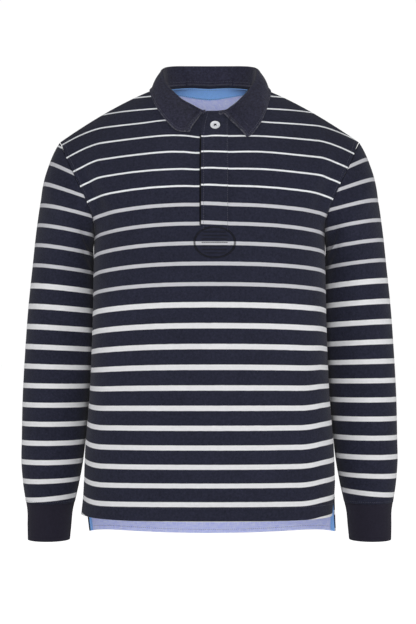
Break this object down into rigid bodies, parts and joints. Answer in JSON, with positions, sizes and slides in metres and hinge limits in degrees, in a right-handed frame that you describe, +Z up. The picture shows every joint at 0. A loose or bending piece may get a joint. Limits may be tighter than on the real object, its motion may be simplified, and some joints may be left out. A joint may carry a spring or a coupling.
{
  "type": "long-sleeve polo shirt",
  "caption": "Striped long-sleeve polo shirt with a fold-down twill collar, concealed placket, rib cuffs and a drop-tail hem with side vents, filled out as if worn.",
  "frame": {"origin": "mid-body, level with the neck ends of the shoulder seams, where the wearer's shoulders hold the shirt", "axes": "+Z up, the front faces -Y, the wearer's left is +X"},
  "size_m": [0.6274, 0.2556, 0.7984],
  "materials": {
    "navy_jersey": "heavy cotton jersey, navy with knitted-in horizontal stripes in white and grey",
    "navy_rib": "navy one-by-one cotton rib",
    "navy_twill": "navy brushed cotton twill, edge stitched",
    "blue_tape": "mid-blue herringbone cotton tape",
    "lilac_chambray": "pale lilac chambray",
    "button_white": "white four-hole button, satin"
  },
  "bodies": {
    "root": {"front": "navy_jersey", "back": "navy_jersey", "sleeve_left": "navy_jersey", "sleeve_right": "navy_jersey", "placket_top": "navy_jersey", "cuff_left": "navy_rib", "cuff_right": "navy_rib", "collar": "navy_twill", "neck_tape": "blue_tape", "neck_facing": "lilac_chambray", "hem_facing_back": "lilac_chambray", "vent_tape_front_left": "blue_tape", "vent_tape_front_right": "blue_tape", "vent_tape_back_left": "blue_tape", "vent_tape_back_right": "blue_tape", "button_neck": "button_white"}
  },
  "joints": []
}
